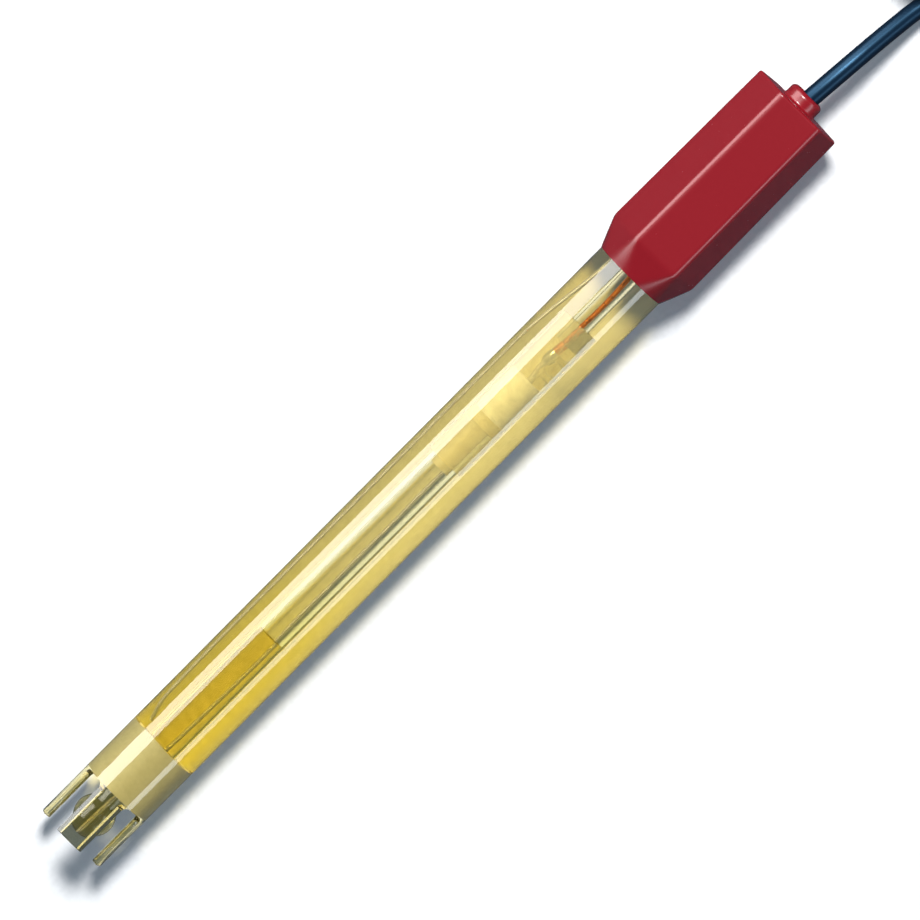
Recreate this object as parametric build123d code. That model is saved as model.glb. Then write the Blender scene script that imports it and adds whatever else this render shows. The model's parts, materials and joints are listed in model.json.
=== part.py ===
from build123d import *
from math import atan, cos, degrees, pi, radians, sin, sqrt, tan
import os

# A laboratory pH electrode: a clear plastic body tube with a slotted guard, a blown glass half cell
# inside it, a red hexagonal cap, and a thin screened lead that ends in a bayonet plug.
# Sizes are in millimetres. The electrode is drawn along its own axis: x = 0 at the guard's tips,
# growing towards the cap. It is then laid on the guard and on a flat of the cap, as it rests.

# Gap all round between pieces that are pushed or glued into one another
fit_gap = 0.05

# Body tube with its guard
tube_bore = 9.4
tube_wall = 1.3
tube_length = 118.0
guard_length = 9.6
slot_width = 4.36
slot_corner = 0.9
slot_count = 2
guard_roll = 7.0
neck_length = 12.0
neck_step = 0.6
tip_round = 0.2

# Glass half cell
bulb_diameter = 6.4
bulb_wall = 0.35
bulb_to_tip = 1.7
bulb_neck_round = 1.6
stem_diameter = 4.3
stem_wall = 0.45
stem_in_sleeve = 7.4
rim_round = 0.18
buffer_end = 42.5
buffer_sag = 0.9

# Silver wire of the half cell: it sags to one side of the stem and is a little wavy
element_diameter = 0.5
element_into_bulb = 2.7
element_side = 0.95
element_wave = 0.2
element_waves = 5
element_sag_steps = 4
element_side_left = (0.9, 0.7, 0.3)
element_straight = 1.5

# Stopper, sleeve and filling above the stem
stopper_depth = 8.6
stopper_sag = 0.7
stopper_head = 1.85
sleeve_to_cap = 10.4
sleeve_length = 28.5
sleeve_wall = 0.25
wad_waves = 5
wad_wave_depth = 0.22

# Soldered joint and the core of the lead, which runs down to it in a clear tube
joint_length = 2.2
joint_diameter = 1.1
joint_to_wad = 3.6
joint_to_core_tube = 1.8
core_tube_diameter = 2.8
core_tube_wall = 0.3
core_tube_in_sleeve = 3.6
conductor_diameter = 0.8
conductor_sway = 0.45
conductor_straight = 0.6

# Cast seal behind the guard, with its porous junction
seal_length = 9.8
seal_dish = 0.5
junction_diameter = 1.0
junction_to_wall = 0.9
junction_proud = 0.3

# Reference wire, in the gel beside the stem: hooked at its lower end, then along the tube's wall
reference_diameter = 0.5
reference_to_wall = 0.25
reference_to_seal = 1.6
reference_hook = 1.2
reference_hook_length = 3.2
reference_wave = 0.05
reference_waves = 5
reference_waves_start = 13.6
reference_waves_end = 5.6
reference_drift = 0.6
reference_bends = (4.6, 2.4)
reference_to_core = 1.2
reference_past_bung = 4.6
pigtail_diameter = 0.9
pigtail_bends = 2.5

# Bung that closes the tube's neck
bung_inset = 0.6
bung_length = 9.8

# Cap
cap_mouth = 12.2
cap_mouth_flat = 0.06
cap_taper = 5.0
cap_length = 35.3
cap_flats = 14.24
cap_flats_at_end = 13.8
cap_corner = 1.2
cap_end_round = 0.4
nub_diameter = 5.8
nub_length = 2.2
nub_foot = 0.5
nub_round = 0.8
cavity_diameter = 9.0
cavity_back_wall = 7.3
exit_play = 0.6
exit_flare = 0.3

# Lead: where it starts in the cap, its thickness and the points of its route as it lies
cord_diameter = 2.9
jacket_wall = 0.35
lead_past_anchor = 2.95
anchor_length = 5.0
anchor_wall = 1.0
lead_route = [
    (60.3, 0.0, 7.26), (71.8, 0.0, 7.36), (84.2, -1.05, 7.15), (92.2, -2.05, 4.75),
    (99.6, -3.2, 2.4), (106.4, -5.3, 2.1), (112.8, -6.3, 2.1),
]
tail_route = [
    (141.0, -6.0, 10.6), (147.5, -6.3, 10.6), (154.0, -5.6, 10.2), (160.0, -3.5, 8.95),
    (165.4, -1.5, 7.7), (171.1, -0.8, 7.25), (176.3, -0.8, 7.25),
]

# Hank in which the rest of the lead is put away, with its tie
hank_start = 100.55
hank_side = 5.0
hank_run = 32.4
hank_fold = 8.7
hank_lanes = 2
hank_layers = 4
hank_pinch = 1.0
hank_round = 1.3
tie_thickness = 0.5
tie_width = 6.0

# Bayonet plug, along its own axis from the boot to the mouth
plug_back = 170.4
plug_side = -0.8
boot_length = 13.0
boot_back = 5.0
boot_front = 7.4
boot_grooves = 4
boot_groove_depth = 0.35
boot_mouth_play = 0.6
ferrule_start = 5.5
ferrule_length = 9.0
ferrule_wall = 0.45
tail_wall = 0.55
tail_inset = 0.5
barrel_start = 14.7
barrel_back_wall = 1.2
barrel_diameter = 9.4
clip_start = 17.9
clip_thickness = 0.8
clip_height = 0.75
clip_groove = 0.35
clip_opening = 2.5
lip_thickness = 1.5
spring_thickness = 0.3
collar_travel = 0.8
flange_thickness = 1.3
collar_diameter = 14.5
collar_length = 16.2
collar_wall = 1.3
collar_edge = 0.4
collar_ribs = 24
rib_width = 0.7
rib_depth = 0.35
rib_length = 8.0
rib_margin = 0.8
running_gap = 0.1
lug_slot_width = 2.3
lug_slot_turn = 70.0
lug_slot_rise = 3.4
lug_slot_start = 3.6
contact_diameter = 8.1
contact_wall = 0.55
contact_length = 12.0
contact_slits = 4
slit_width = 0.5
slit_length = 6.0
pin_diameter = 1.37
pin_reach = 10.5
pin_tip = 1.2
pin_point = 0.45
solder_cup_length = 4.0
solder_cup_diameter = 2.05
insulator_step = 1.0
insulator_nose_wall = 1.0
insulator_nose_inset = 2.0
gasket_thickness = 1.1

# Sizes that follow from these
tube_diameter = tube_bore + 2 * tube_wall
neck_diameter = tube_diameter - 2 * neck_step
neck_end = tube_length + neck_length
bulb_centre = bulb_to_tip + bulb_diameter / 2
stem_bore = stem_diameter - 2 * stem_wall
sleeve_bore = stem_diameter + 2 * fit_gap
sleeve_end = tube_length - sleeve_to_cap
sleeve_start = sleeve_end - sleeve_length
stem_end = sleeve_start + stem_in_sleeve
stopper_start = stem_end - stopper_depth
stopper_end = stem_end + stopper_head
filling_diameter = sleeve_bore - 2 * fit_gap
core_tube_start = sleeve_end - core_tube_in_sleeve
joint_end = core_tube_start - joint_to_core_tube
joint_start = joint_end - joint_length
wad_start = stopper_end + fit_gap
wad_end = joint_start - joint_to_wad
wad_length = wad_end - wad_start
core_tube_bore = core_tube_diameter - 2 * core_tube_wall
junction_place = tube_bore / 2 - junction_to_wall - junction_diameter / 2
seal_start = guard_length
seal_end = seal_start + seal_length
bung_start = tube_length + bung_inset
bung_end = bung_start + bung_length
cap_start = tube_length
shoulder = cap_start + cap_taper
cap_end = cap_start + cap_length
nub_end = cap_end + nub_length
socket_end = neck_end + fit_gap
cavity_end = cap_end - cavity_back_wall
anchor_end = cavity_end - fit_gap
anchor_start = anchor_end - anchor_length
cord_bore = cord_diameter + 2 * fit_gap
lead_start = anchor_start - lead_past_anchor
element_tip = bulb_centre - element_into_bulb
wall_side = tube_bore / 2 - reference_to_wall - reference_diameter / 2
reference_side = core_tube_diameter / 2 + reference_to_core
reference_end = bung_end + reference_past_bung
rest_tilt = degrees(atan((cap_flats / 2 - tube_diameter / 2) / shoulder))

hank_floor = tie_thickness + fit_gap
hank_height = hank_layers * cord_diameter
hank_half_width = hank_fold + (hank_lanes - 0.5) * cord_diameter
hank_hole = hank_fold - cord_diameter / 2

lip_start = clip_start + clip_thickness + running_gap
lip_end = lip_start + lip_thickness
spring_height = collar_travel + 2 * spring_thickness
flange_start = lip_end + spring_height
flange_end = flange_start + flange_thickness
collar_bore = collar_diameter - 2 * collar_wall
flange_diameter = collar_bore - 2 * running_gap
collar_start = lip_start
collar_end = collar_start + collar_length
contact_bore = contact_diameter - 2 * contact_wall
contact_end = flange_end + contact_length
ferrule_end = ferrule_start + ferrule_length
plug_tail_bore = cord_diameter - 2 * jacket_wall
plug_tail_diameter = plug_tail_bore + 2 * tail_wall
ferrule_bore = plug_tail_diameter + 2 * fit_gap
ferrule_diameter = ferrule_bore + 2 * ferrule_wall
plug_tail_start = ferrule_start + tail_inset
insulator_start = barrel_start + barrel_back_wall
pin_end = flange_end + pin_reach


def face_within(*curves):
    """The face inside a closed run of lines and arcs."""
    return make_face(Wire([edge for curve in curves for edge in curve.edges()]))


def turned(*points):
    """A solid of revolution about the x axis from corners given as (place, radius)."""
    corners = [(x, 0, r) for x, r in points]
    return revolve(make_face(Polyline(*corners, close=True)), Axis.X)


def rod(start, end, diameter):
    r = diameter / 2
    return turned((start, 0), (start, r), (end, r), (end, 0))


def ring(start, end, outer, inner):
    return turned((start, inner / 2), (start, outer / 2), (end, outer / 2), (end, inner / 2))


def bent(points, turning=0.45):
    """A path of straight runs joined by tangent arcs, each as large as its two runs allow."""
    places = [Vector(*p) for p in points]
    radii = []
    for before, at, after in zip(places, places[1:], places[2:]):
        one, two = at - before, after - at
        half_turn = radians(one.get_angle(two)) / 2
        radii.append(turning * min(one.length, two.length) / tan(half_turn))
    return FilletPolyline(*places, radius=radii), radii


def drawn(points, diameter):
    """A round wire or cord along a bent path."""
    path, _ = bent(points)
    start = path @ 0
    section = Plane(origin=start, z_dir=path % 0) * Circle(diameter / 2)
    return sweep(section, path=path)


def sideways(points):
    return [(x, y, 0) for x, y in points]


def rolled(shape, degrees_from_top):
    """Turn a shape about the electrode's axis, from the top towards +Y."""
    return Rot(-degrees_from_top, 0, 0) * shape


def bulb_face(radius, stem_radius, neck_round, end, sag=0.0):
    """Half section of a bulb that runs into a stem; sag dishes the far end."""
    reach = sqrt((radius + neck_round) ** 2 - (stem_radius + neck_round) ** 2)
    neck = Vector(bulb_centre + reach, 0, stem_radius + neck_round)
    centre = Vector(bulb_centre, 0, 0)
    touch = centre + (neck - centre).normalized() * radius
    lean = atan((neck.Z) / (neck.X - bulb_centre))
    crown = centre + Vector(cos((pi + lean) / 2), 0, sin((pi + lean) / 2)) * radius
    tip = centre - Vector(radius, 0, 0)
    foot = Vector(neck.X, 0, stem_radius)
    middle = neck + ((touch + foot) * 0.5 - neck).normalized() * neck_round
    top = Vector(end, 0, stem_radius)
    axis_end = Vector(end - sag, 0, 0)
    edges = [ThreePointArc(tip, crown, touch), ThreePointArc(touch, middle, foot), Line(foot, top)]
    edges.append(TangentArc(axis_end, top, tangent=(0, 0, 1)) if sag else Line(top, axis_end))
    edges.append(Line(axis_end, tip))
    return face_within(*edges)


def body_tube():
    tube = turned(
        (0, tube_bore / 2), (0, tube_diameter / 2), (tube_length, tube_diameter / 2),
        (tube_length, neck_diameter / 2), (neck_end, neck_diameter / 2), (neck_end, tube_bore / 2),
    )
    tips = tube.edges().group_by(Axis.X)[0]
    tube = fillet(tips, tip_round)
    over = tube_diameter
    slot = Pos((guard_length - over) / 2, 0) * Rectangle(guard_length + over, slot_width)
    slot = fillet(slot.vertices().group_by(Axis.X)[-1], slot_corner)
    slot = extrude(slot, amount=over, both=True)
    for number in range(slot_count):
        tube -= rolled(slot, guard_roll + 180 / slot_count * (number + 0.5))
    return tube


def glass_half_cell():
    outside = bulb_face(bulb_diameter / 2, stem_diameter / 2, bulb_neck_round, stem_end)
    inside = bulb_face(
        bulb_diameter / 2 - bulb_wall, stem_bore / 2, bulb_neck_round + stem_wall, stem_end + 1
    )
    glass = revolve(outside, Axis.X) - revolve(inside, Axis.X)
    rim = glass.edges().group_by(Axis.X)[-1]
    return fillet(rim, rim_round)


def element_points(tip):
    """From inside the bulb, sagging to one side, wavy above the buffer, then up to the joint."""
    points = []
    for number in range(element_sag_steps + 1):
        share = number / element_sag_steps
        points.append((tip + share * (buffer_end - tip), -element_side * sin(share * pi / 2)))
    step = (stopper_start - buffer_end) / (element_waves + 1)
    for number in range(element_waves):
        wave = element_wave * ((number + 1) % 2)
        points.append((buffer_end + step * (number + 1), wave - element_side))
    for place, left in zip((stopper_start + 1, stopper_end, wad_end), element_side_left):
        points.append((place, -element_side * left))
    return points + [(joint_start - element_straight, 0), (joint_start, 0)]


def element_wire():
    return drawn(sideways(element_points(element_tip)), element_diameter)


def room_for_element():
    return drawn(sideways(element_points(element_tip - fit_gap)), element_diameter + 2 * fit_gap)


def buffer_fill():
    fill = bulb_face(
        bulb_diameter / 2 - bulb_wall - fit_gap, stem_bore / 2 - fit_gap,
        bulb_neck_round + stem_wall + fit_gap, buffer_end, buffer_sag,
    )
    return revolve(fill, Axis.X)


def stem_stopper():
    """A rubber stopper: a shank in the glass stem, dished at its foot, and a head on the rim."""
    shank = stem_bore / 2 - fit_gap
    head = filling_diameter / 2
    seat = stem_end + fit_gap
    foot = Vector(stopper_start, 0, shank)
    bottom = Vector(stopper_start + stopper_sag, 0, 0)
    outline = [
        TangentArc(bottom, foot, tangent=(0, 0, 1)),
        Polyline((stopper_start, 0, shank), (seat, 0, shank), (seat, 0, head),
                 (stopper_end, 0, head), (stopper_end, 0, 0)),
        Line((stopper_end, 0, 0), bottom),
    ]
    return revolve(face_within(*outline), Axis.X)


def packing_wad():
    """A rolled wad of tape, drawn as a row of soft ridges."""
    high = filling_diameter / 2
    low = high - wad_wave_depth
    pitch = wad_length / wad_waves
    outline = [Line((wad_start, 0, 0), (wad_start, 0, low))]
    for number in range(wad_waves):
        x = wad_start + number * pitch
        outline.append(ThreePointArc((x, 0, low), (x + pitch / 2, 0, high), (x + pitch, 0, low)))
    outline += [Line((wad_end, 0, low), (wad_end, 0, 0)), Line((wad_end, 0, 0), (wad_start, 0, 0))]
    return revolve(face_within(*outline), Axis.X)


def top_sleeve():
    return ring(sleeve_start, sleeve_end, sleeve_bore + 2 * sleeve_wall, sleeve_bore)


def joint_potting():
    """Clear potting that fills the sleeve around the soldered joint and the core tube's end."""
    potting = rod(wad_end + fit_gap, sleeve_end - fit_gap, filling_diameter)
    potting -= rod(core_tube_start - fit_gap, sleeve_end + 1, core_tube_diameter + 2 * fit_gap)
    potting -= rod(joint_start - fit_gap, joint_end + fit_gap, joint_diameter + 2 * fit_gap)
    return potting


def solder_joint():
    waist = conductor_diameter / 2
    middle = (joint_start + joint_end) / 2
    outline = [
        Line((joint_start, 0, 0), (joint_start, 0, waist)),
        ThreePointArc((joint_start, 0, waist), (middle, 0, joint_diameter / 2), (joint_end, 0, waist)),
        Line((joint_end, 0, waist), (joint_end, 0, 0)),
        Line((joint_end, 0, 0), (joint_start, 0, 0)),
    ]
    return revolve(face_within(*outline), Axis.X)


def conductor_points():
    """The core leaves the joint on the axis, sways in its tube and comes back to the axis."""
    half_way = (sleeve_end + tube_length) / 2
    return sideways([
        (joint_end, 0), (core_tube_start + conductor_straight, -conductor_sway / 3),
        (half_way, -conductor_sway), (bung_start, -conductor_sway / 4), (bung_end, 0),
        (lead_start - conductor_straight, conductor_sway / 9), (lead_start, 0),
    ])


def core_conductor():
    return drawn(conductor_points(), conductor_diameter)


def room_for_conductor():
    return drawn(conductor_points(), conductor_diameter + 2 * fit_gap)


def core_tube():
    return ring(core_tube_start, lead_start - fit_gap, core_tube_diameter, core_tube_bore)


def lower_seal():
    """Potting cast between the stem and the tube; its upper face creeps up both walls."""
    inner = stem_diameter / 2 + fit_gap
    outer = tube_bore / 2 - fit_gap
    middle = (inner + outer) / 2
    outline = [
        Line((seal_start, 0, inner), (seal_start, 0, outer)),
        Line((seal_start, 0, outer), (seal_end, 0, outer)),
        ThreePointArc((seal_end, 0, outer), (seal_end - seal_dish, 0, middle), (seal_end, 0, inner)),
        Line((seal_end, 0, inner), (seal_start, 0, inner)),
    ]
    seal = revolve(face_within(*outline), Axis.X)
    return seal - junction_rod(fit_gap)


def junction_rod(extra=0.0):
    """The porous ceramic junction, a rod through the seal on the side of the reference wire."""
    start = seal_start - junction_proud - extra
    end = seal_end + junction_proud + extra
    return Pos(0, junction_place, 0) * rod(start, end, junction_diameter + 2 * extra)


def reference_points(tip):
    """Hooked end, the long run beside the wall, then inwards and through the bung."""
    points = [(tip, wall_side - reference_hook),
              (tip + reference_hook_length, wall_side - reference_hook / 4)]
    first = seal_end + reference_waves_start
    step = (sleeve_end - reference_waves_end - first) / (reference_waves - 1)
    for number in range(reference_waves):
        points.append((first + step * number, wall_side - reference_wave * ((number + 1) % 2)))
    before, after = reference_bends
    points.append((sleeve_end, wall_side - reference_drift))
    points.append((bung_start - before, reference_side + reference_diameter / 2))
    return points + [(bung_start + after, reference_side), (reference_end, reference_side)]


def reference_wire():
    tip = seal_end + reference_to_seal
    return drawn(sideways(reference_points(tip)), reference_diameter)


def room_for_reference():
    tip = seal_end + reference_to_seal - fit_gap
    return drawn(sideways(reference_points(tip)), reference_diameter + 2 * fit_gap)


def reference_gel():
    """Gel that fills the tube around the stem, the sleeve and the core tube up to the bung."""
    outer = tube_bore / 2 - fit_gap
    low = seal_end + fit_gap
    gel = turned(
        (low, stem_diameter / 2 + fit_gap), (low, outer), (bung_start - fit_gap, outer),
        (bung_start - fit_gap, core_tube_diameter / 2 + fit_gap),
        (sleeve_end + fit_gap, core_tube_diameter / 2 + fit_gap),
        (sleeve_end + fit_gap, sleeve_bore / 2 + sleeve_wall + fit_gap),
        (sleeve_start - fit_gap, sleeve_bore / 2 + sleeve_wall + fit_gap),
        (sleeve_start - fit_gap, stem_diameter / 2 + fit_gap),
    )
    return gel - room_for_reference() - junction_rod(fit_gap)


def neck_bung():
    bung = ring(bung_start, bung_end, tube_bore - 2 * fit_gap, core_tube_diameter + 2 * fit_gap)
    return bung - room_for_reference()


def shield_pigtail():
    """The screen's twisted end, from the reference wire to the crimp on the lead."""
    side = cord_bore / 2 + anchor_wall / 2
    points = [(reference_end, reference_side),
              (reference_end + pigtail_bends, reference_side - 2 * fit_gap),
              (anchor_start - pigtail_bends, side + fit_gap), (anchor_start, side)]
    return drawn(sideways(points), pigtail_diameter)


def lead_anchor():
    """A crimped ring that stops the lead from being pulled out of the cap."""
    return ring(anchor_start, anchor_end, cord_bore + 2 * anchor_wall, cord_bore)


def hexagon(place, flats, corner):
    outline = RegularPolygon(flats / 2, 6, major_radius=False)
    return Plane.YZ.offset(place) * fillet(outline.vertices(), corner)


def cap():
    """The cap swells from a round mouth into a hexagon, and ends in a nub for the lead."""
    round_corner = cap_mouth / 2 - cap_mouth_flat
    body = loft(
        [
            hexagon(cap_start, cap_mouth, round_corner),
            hexagon(shoulder, cap_flats, cap_corner),
            hexagon(cap_end, cap_flats_at_end, cap_corner),
        ],
        ruled=True,
    )
    body = fillet(body.edges().group_by(Axis.X)[-1], cap_end_round)
    nub_radius = nub_diameter / 2
    foot = nub_radius + nub_foot
    slant = sqrt(0.5)
    nub = [
        Polyline((cap_end - 1, 0, 0), (cap_end - 1, 0, foot), (cap_end, 0, foot)),
        ThreePointArc((cap_end, 0, foot),
                      (cap_end + nub_foot * (1 - slant), 0, foot - nub_foot * slant),
                      (cap_end + nub_foot, 0, nub_radius)),
        Line((cap_end + nub_foot, 0, nub_radius), (nub_end - nub_round, 0, nub_radius)),
        ThreePointArc((nub_end - nub_round, 0, nub_radius),
                      (nub_end - nub_round * (1 - slant), 0, nub_radius - nub_round * (1 - slant)),
                      (nub_end, 0, nub_radius - nub_round)),
        Polyline((nub_end, 0, nub_radius - nub_round), (nub_end, 0, 0), (cap_end - 1, 0, 0)),
    ]
    body += revolve(face_within(*nub), Axis.X)
    exit_radius = cord_diameter / 2 + exit_play
    return body - turned(
        (cap_start - 1, 0), (cap_start - 1, neck_diameter / 2 + fit_gap),
        (socket_end, neck_diameter / 2 + fit_gap), (socket_end, cavity_diameter / 2),
        (cavity_end, cavity_diameter / 2), (cavity_end, exit_radius),
        (nub_end - exit_flare, exit_radius), (nub_end, exit_radius + exit_flare),
        (nub_end + 1, exit_radius + exit_flare), (nub_end + 1, 0),
    )


def long_loop(half_width):
    """A folded loop's outline: round at its ends, its sides drawn in a little by the tie."""
    centre = hank_run / 2
    side = (centre**2 - 2 * half_width * hank_pinch + hank_pinch**2) / (2 * hank_pinch)
    share = half_width / (side + half_width)
    x = centre * (1 - share)
    y = (half_width - hank_pinch + side) * share
    waist = half_width - hank_pinch
    end = centre + half_width
    return face_within(
        ThreePointArc((-x, y), (-end, 0), (-x, -y)), ThreePointArc((-x, -y), (0, -waist), (x, -y)),
        ThreePointArc((x, -y), (end, 0), (x, y)), ThreePointArc((x, y), (0, waist), (-x, y)),
    )


def hank_place():
    return Pos(hank_start + hank_half_width + hank_run / 2, hank_side, hank_floor)


def cable_hank():
    hank = extrude(long_loop(hank_half_width) - long_loop(hank_hole), hank_height)
    flat = hank.faces().filter_by(GeomType.PLANE).sort_by(Axis.Z)
    edges = flat[0].edges() + flat[-1].edges()
    return hank_place() * fillet(edges, hank_round)


def hank_tie():
    """A strap round the middle of the hank."""
    wide = 2 * (hank_half_width - hank_pinch + 2 * fit_gap)
    high = hank_height + 2 * fit_gap
    inner = RectangleRounded(wide, high, hank_round)
    strap = offset(inner, tie_thickness) - inner
    section = Plane.YZ * Pos(0, hank_height / 2) * strap
    return hank_place() * extrude(section, tie_width / 2, both=True)


def plug_boot():
    """A tapered rubber boot with grooves that let it bend."""
    bore = cord_bore / 2
    counterbore = ferrule_diameter / 2 + fit_gap
    seat = ferrule_start - fit_gap
    boot = turned(
        (0, bore + boot_mouth_play / 2), (0, boot_back / 2), (boot_length, boot_front / 2),
        (boot_length, counterbore), (seat, counterbore), (seat, bore), (seat / 2, bore),
    )
    pitch = seat / (boot_grooves + 1)
    slope = (boot_front - boot_back) / 2 / boot_length
    for number in range(boot_grooves):
        x = pitch * (number + 1)
        surface = boot_back / 2 + slope * x
        boot -= ring(x - pitch / 4, x + pitch / 4, 2 * surface + 1, 2 * (surface - boot_groove_depth))
    return boot


def crimp_ferrule():
    return ring(ferrule_start, ferrule_end, ferrule_diameter, ferrule_bore)


def plug_body():
    """Tail, barrel, flange and the slit outer contact, turned in one piece."""
    body = turned(
        (plug_tail_start, plug_tail_bore / 2), (plug_tail_start, plug_tail_diameter / 2),
        (barrel_start, plug_tail_diameter / 2), (barrel_start, barrel_diameter / 2),
        (clip_start - running_gap / 2, barrel_diameter / 2),
        (clip_start - running_gap / 2, barrel_diameter / 2 - clip_groove),
        (clip_start + clip_thickness + running_gap / 2, barrel_diameter / 2 - clip_groove),
        (clip_start + clip_thickness + running_gap / 2, barrel_diameter / 2),
        (flange_start, barrel_diameter / 2), (flange_start, flange_diameter / 2),
        (flange_end, flange_diameter / 2), (flange_end, contact_diameter / 2),
        (contact_end, contact_diameter / 2), (contact_end, contact_bore / 2),
        (insulator_start, contact_bore / 2), (insulator_start, plug_tail_bore / 2),
    )
    slit = Pos(contact_end, 0, 0) * Box(2 * slit_length, slit_width, contact_diameter + 2)
    for number in range(contact_slits // 2):
        body -= rolled(slit, number * 360 / contact_slits)
    return body


def retaining_clip():
    inner = barrel_diameter / 2 - clip_groove + fit_gap
    clip = ring(clip_start, clip_start + clip_thickness, barrel_diameter + 2 * clip_height, 2 * inner)
    opening = Pos(clip_start, 0, barrel_diameter / 2) * Box(4 * clip_thickness, clip_opening, 2 * clip_opening)
    return clip - opening


def spring_washer():
    """A ring of spring steel bent about one line, so that it bears on two ridges and two ends."""
    inner = barrel_diameter + 4 * running_gap
    outer = collar_bore - 4 * running_gap
    rise = spring_height - spring_thickness - 2 * fit_gap
    chord = outer / 2
    bend = (chord**2 + rise**2) / (2 * rise)
    crest = flange_start - fit_gap
    washer = ring(lip_end, flange_start, outer, inner)
    centre = crest - bend
    band = Pos(centre, 0) * (Circle(bend) - Circle(bend - spring_thickness))
    return washer & extrude(band, outer, both=True)


def lug_channel():
    """Room for one lug of the socket: straight in at the mouth, then round a rising helix."""
    mid = (collar_diameter + collar_bore) / 4
    deep = collar_wall * 3
    entry = collar_end - lug_slot_start
    pitch = lug_slot_rise * 360 / lug_slot_turn
    channel = Pos((collar_end + entry + 1) / 2, 0, mid) * Box(lug_slot_start + 1, lug_slot_width, deep)
    steps = 10
    for step in range(steps + 1):
        turn = lug_slot_turn * step / steps
        x = entry - pitch * turn / 360
        cutter = Pos(x, 0, mid) * Cylinder(lug_slot_width / 2, deep)
        channel += rolled(cutter, turn)
    return channel


def bayonet_collar():
    """The turning collar: a ribbed grip, a lip behind the flange and two lug channels."""
    lip_bore = barrel_diameter / 2 + running_gap
    r = collar_diameter / 2
    edge = collar_edge
    grip_end = collar_start + rib_length + 2 * rib_margin
    waist = r - rib_depth
    collar = turned(
        (collar_start, lip_bore), (collar_start, r - edge), (collar_start + edge, r),
        (grip_end, r), (grip_end, waist), (collar_end - edge, waist), (collar_end, waist - edge),
        (collar_end, collar_bore / 2), (lip_end, collar_bore / 2), (lip_end, lip_bore),
    )
    groove = Box(rib_length, rib_width, 2 * rib_depth)
    groove = Pos(collar_start + rib_margin + rib_length / 2, 0, r) * groove
    for number in range(collar_ribs):
        collar -= rolled(groove, number * 360 / collar_ribs)
    for side in (90, 270):
        collar -= rolled(lug_channel(), side)
    return collar


def plug_insulator():
    start = insulator_start + fit_gap
    step = flange_end + insulator_step
    nose_end = pin_end - pin_tip - insulator_nose_inset
    nose = pin_diameter / 2 + insulator_nose_wall
    cup_end = start + solder_cup_length
    return turned(
        (start, solder_cup_diameter / 2 + fit_gap), (start, contact_bore / 2 - fit_gap),
        (step, contact_bore / 2 - fit_gap), (step, nose), (nose_end, nose),
        (nose_end, pin_diameter / 2 + fit_gap), (cup_end, pin_diameter / 2 + fit_gap),
        (cup_end, solder_cup_diameter / 2 + fit_gap),
    )


def plug_pin():
    start = insulator_start + fit_gap
    cup = start + solder_cup_length - fit_gap
    return turned(
        (start, 0), (start, solder_cup_diameter / 2), (cup, solder_cup_diameter / 2),
        (cup, pin_diameter / 2), (pin_end - pin_tip, pin_diameter / 2), (pin_end, pin_point / 2),
        (pin_end, 0),
    )


def plug_core():
    """The lead's core between the end of its jacket and the centre pin."""
    return rod(plug_tail_start, insulator_start, conductor_diameter)


def plug_gasket():
    start = flange_end + fit_gap
    return ring(start, start + gasket_thickness, flange_diameter, contact_diameter + 2 * fit_gap)


def cord_piece(route, name):
    """A stretch of the lead along its route, with its bends and volume printed."""
    path, radii = bent(route)
    solid = drawn(route, cord_diameter)
    expected = pi * cord_diameter**2 / 4 * path.length
    print(name, "length", round(path.length, 1), "radii", [round(r, 1) for r in radii])
    print(name, "volume", round(solid.volume, 2), "section times length", round(expected, 2))
    return solid


def electrode_pieces():
    """The pieces that lie along the electrode's own axis."""
    element_room = room_for_element()
    conductor_room = room_for_conductor()
    return {
        "body_tube": body_tube(),
        "glass_half_cell": glass_half_cell(),
        "buffer_fill": buffer_fill() - element_room,
        "element_wire": element_wire(),
        "stem_stopper": stem_stopper() - element_room,
        "top_sleeve": top_sleeve(),
        "packing_wad": packing_wad() - element_room,
        "joint_potting": joint_potting() - element_room - conductor_room,
        "solder_joint": solder_joint(),
        "core_conductor": core_conductor(),
        "core_tube": core_tube(),
        "lower_seal": lower_seal(),
        "junction_rod": junction_rod(),
        "reference_gel": reference_gel(),
        "reference_wire": reference_wire(),
        "neck_bung": neck_bung(),
        "shield_pigtail": shield_pigtail(),
        "lead_anchor": lead_anchor(),
        "cap": cap(),
    }


def plug_pieces():
    """The pieces of the plug, along the plug's own axis."""
    return {
        "plug_boot": plug_boot(),
        "crimp_ferrule": crimp_ferrule(),
        "plug_body": plug_body(),
        "retaining_clip": retaining_clip(),
        "spring_washer": spring_washer(),
        "bayonet_collar": bayonet_collar(),
        "plug_insulator": plug_insulator(),
        "plug_pin": plug_pin(),
        "plug_core": plug_core(),
        "plug_gasket": plug_gasket(),
    }


def at_rest(pieces):
    """Lay the electrode down, with the middle of its footprint at the origin."""
    tilt = Rot(0, -rest_tilt, 0)
    lift = tube_diameter / 2 * cos(radians(rest_tilt))
    ends = (tilt * pieces["body_tube"]).bounding_box().min.X, (tilt * pieces["cap"]).bounding_box().max.X
    place = Pos(-sum(ends) / 2, 0, lift) * tilt
    print("middle of the electrode", round(sum(ends) / 2, 3), "tilt", round(rest_tilt, 3))
    return {name: place * shape for name, shape in pieces.items()}


def all_pieces():
    pieces = at_rest(electrode_pieces())
    hank = cable_hank()
    pieces["cable_lead"] = cord_piece(lead_route, "cable_lead") - hank
    pieces["cable_tail"] = cord_piece(tail_route, "cable_tail") - hank
    pieces["cable_hank"] = hank
    pieces["hank_tie"] = hank_tie()
    plug_place = Pos(plug_back, plug_side, collar_diameter / 2)
    for name, shape in plug_pieces().items():
        pieces[name] = plug_place * shape
    return pieces


os.makedirs("parts", exist_ok=True)
for name, shape in all_pieces().items():
    export_step(shape, f"parts/{name}.step")
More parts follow.
